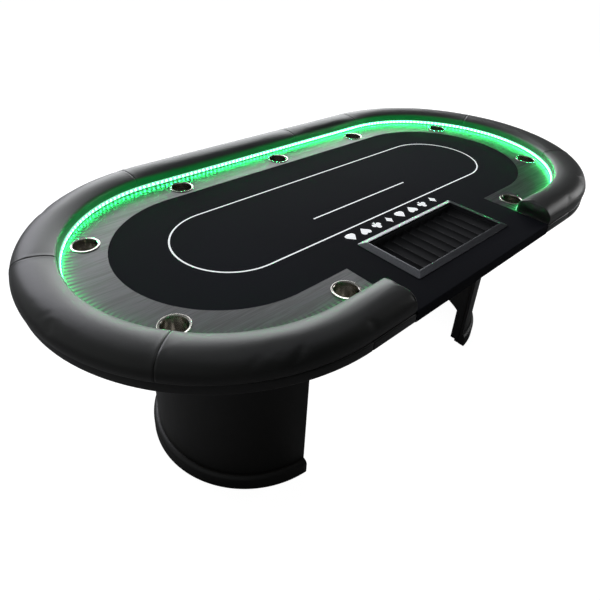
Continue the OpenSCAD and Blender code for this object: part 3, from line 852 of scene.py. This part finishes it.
outline = stadium_points(END_X, CLOTH_R, 40)
outline += [(-FRONT_X, -CLOTH_R), (-FRONT_X, FOLD_Y), (FRONT_X, FOLD_Y), (FRONT_X, -CLOTH_R)]
bpy.ops.object.select_all(action="DESELECT")
bpy.ops.mesh.primitive_circle_add(vertices=len(outline), radius=1, fill_type="NGON")
cloth = bpy.context.object
for v, (x, y) in zip(cloth.data.vertices, outline):
    v.co = (x, y, SURFACE - SINK)
bpy.ops.object.mode_set(mode="EDIT")
bpy.ops.mesh.select_all(action="SELECT")
bpy.ops.mesh.extrude_region_move(TRANSFORM_OT_translate={"value": (0, 0, -THICK)})
bpy.ops.mesh.select_all(action="SELECT")
bpy.ops.mesh.normals_make_consistent(inside=False)

# %% Turn the cloth down over the apron
pick(cloth, "FACE", lambda c, n: n.y < -0.99 and abs(c.y - FOLD_Y) < 1e-5)
bpy.ops.mesh.spin(steps=6, angle=-pi / 2, center=(0, FOLD_Y, SURFACE - SINK - FOLD_R),
                  axis=(1, 0, 0))
flap = SURFACE - SINK - FOLD_R - CLOTH_LOW.z
for _ in range(4):
    bpy.ops.mesh.extrude_region_move(TRANSFORM_OT_translate={"value": (0, 0, -flap / 4)})
bpy.ops.object.mode_set(mode="OBJECT")
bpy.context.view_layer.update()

# %% Cut it for the tray
tub_low, tub_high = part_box("tray_tub")
bpy.ops.object.select_all(action="DESELECT")
bpy.ops.mesh.primitive_cube_add(size=1, location=((tub_low + tub_high) / 2))
cutter = bpy.context.object
opening_x = tub_high.x - tub_low.x + 2 * MM       # 1 mm of room all round the tub
opening_y = tub_high.y - tub_low.y + 2 * MM
cutter.scale = (opening_x, opening_y, 0.2)
only(cloth)
cut = cloth.modifiers.new("cut", "BOOLEAN")
cut.operation, cut.object, cut.solver = "DIFFERENCE", cutter, "EXACT"
bpy.ops.object.modifier_apply(modifier="cut")
bpy.data.objects.remove(cutter)
only(cloth)
bpy.ops.object.shade_smooth_by_angle(angle=radians(40))
finish_piece(cloth, "speed_cloth", "table", cloth_material, ["playing_cloth"])

# %% [markdown]
# ## Printing on the cloth
# A betting line follows the oval, a short line marks where the shared cards lie, and a row of
# card suits stands in front of the chip tray. The suits face the players across the table.
# Each is a circle primitive whose points are moved to its outline, with the least thickness
# that keeps it clear of the cloth.

# %% Lines
INK = 0.25 * MM                            # thickness of the printed ink
LINE_W = 5 * MM
BETTING_HALF, BETTING_R = 494 * MM, 176 * MM   # half the straight part, and the ends' radius
CARD_HALF, CARD_Y = 226 * MM, -65 * MM         # half the short line's length, and its place


def printed(o, name):
    only(o)
    thick = o.modifiers.new("ink", "SOLIDIFY")
    thick.thickness, thick.offset = INK, 1
    bpy.ops.object.modifier_apply(modifier="ink")
    return finish_piece(o, name, "table", ink_material)


def flat_shape(points):
    bpy.ops.object.select_all(action="DESELECT")
    bpy.ops.mesh.primitive_circle_add(vertices=len(points), radius=1, fill_type="NGON")
    o = bpy.context.object
    for v, (x, y) in zip(o.data.vertices, points):
        v.co = (x, y, SURFACE - SINK + 0.05 * MM)
    return o


betting = flat_shape(stadium_points(BETTING_HALF, BETTING_R + LINE_W / 2, 48))
bpy.ops.object.mode_set(mode="EDIT")
bpy.ops.mesh.select_all(action="SELECT")
bpy.ops.mesh.inset(thickness=LINE_W)
bpy.ops.mesh.delete(type="FACE")
printed(betting, "betting_line")
h = LINE_W / 2
printed(flat_shape([(-CARD_HALF, CARD_Y - h), (CARD_HALF, CARD_Y - h), (CARD_HALF, CARD_Y + h),
                    (-CARD_HALF, CARD_Y + h)]), "shared_card_line")


# %% Suits
SUIT = 36 * MM
STEM = [(-0.04, -0.29), (-0.06, -0.37), (-0.16, -0.5), (0.16, -0.5), (0.06, -0.37), (0.04, -0.29)]
LOBE = arc((0.25, 0.2), 0.27, radians(-38), radians(152), 14)  # a heart's right side


def mirrored(points):
    return [(-x, y) for x, y in reversed(points)]


def club():
    top = arc((0, 0.26), 0.22, radians(-40), radians(220), 18)
    side = arc((0.27, -0.09), 0.22, radians(-155), radians(118), 18)
    return side + top + mirrored(side) + STEM


heart = [(0, -0.5)] + LOBE + [(0, 0.29)] + mirrored(LOBE)
spade = [(0, 0.5)] + [(-x, -y) for x, y in LOBE] + STEM + [(x, -y) for x, y in reversed(LOBE)]
diamond = [(0, -0.5), (0.15, -0.22), (0.36, 0), (0.15, 0.22), (0, 0.5), (-0.15, 0.22), (-0.36, 0),
           (-0.15, -0.22)]
SUIT_Y, SUIT_PITCH, SUIT_SHIFT = -215 * MM, 58 * MM, -10 * MM
marks = []
for i, shape in enumerate([spade, heart, club(), diamond] * 2):
    x = (i - 3.5) * SUIT_PITCH + SUIT_SHIFT
    # each mark is turned half round, to face the players on the far side
    marks.append(flat_shape([(x - px * SUIT, SUIT_Y - py * SUIT) for px, py in shape]))
only(*marks)
bpy.ops.object.join()
printed(bpy.context.object, "row_of_card_suits")

# %% [markdown]
# ## Diodes
# The diodes are five-millimetre blocks with a rounded lens. One is modelled and copied round
# the inner face of the armrest at sixty to the metre.

# %% Diodes
strip_low, strip_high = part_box("led_strip")
STRIP_DEPTH = 2.7 * MM
STRIP_R = strip_high.y - STRIP_DEPTH
strip_z = (strip_low.z + strip_high.z) / 2
strip_gap = GAP_HALF + 5 * MM         # the strip starts this far from the dealer's gap
straight_back = 2 * END_X
arc_len = pi * STRIP_R
straight_front = END_X - strip_gap
total = straight_back + 2 * arc_len + 2 * straight_front


def along(s):
    """Place and inward turn at a distance s along the strip, from the dealer's right end."""
    if s < straight_front:
        return Vector((strip_gap + s, -STRIP_R, strip_z)), pi / 2
    s -= straight_front
    if s < arc_len:
        a = -pi / 2 + s / STRIP_R
        return Vector((END_X + STRIP_R * cos(a), STRIP_R * sin(a), strip_z)), a + pi
    s -= arc_len
    if s < straight_back:
        return Vector((END_X - s, STRIP_R, strip_z)), -pi / 2
    s -= straight_back
    if s < arc_len:
        a = pi / 2 + s / STRIP_R
        return Vector((-END_X + STRIP_R * cos(a), STRIP_R * sin(a), strip_z)), a + pi
    return Vector((-END_X + s - arc_len, -STRIP_R, strip_z)), pi / 2


bpy.ops.object.select_all(action="DESELECT")
bpy.ops.mesh.primitive_cube_add(size=1, location=(0, 0, 0))
lamp = bpy.context.object
lamp.scale = (1.2 * MM, 5 * MM, 5 * MM)
bpy.ops.object.transform_apply(scale=True)
bpy.ops.object.mode_set(mode="EDIT")
bpy.ops.mesh.select_all(action="SELECT")
bpy.ops.mesh.bevel(offset=0.4 * MM, segments=1, affect="EDGES")
bpy.ops.object.mode_set(mode="OBJECT")
count = floor(total / DIODE_PITCH)
lamps = []
for i in range(count):
    p, heading = along((i + 0.5) * total / count)
    one = bpy.data.objects.new("diode", lamp.data.copy())
    scene.collection.objects.link(one)
    one.matrix_world = Matrix.Translation(p) @ Matrix.Rotation(heading, 4, "Z")
    lamps.append(one)
bpy.data.objects.remove(lamp)
only(*lamps)
bpy.ops.object.join()
finish_piece(bpy.context.object, "green_diodes", "table", diode)
print(count, "diodes over", round(total, 2), "m")
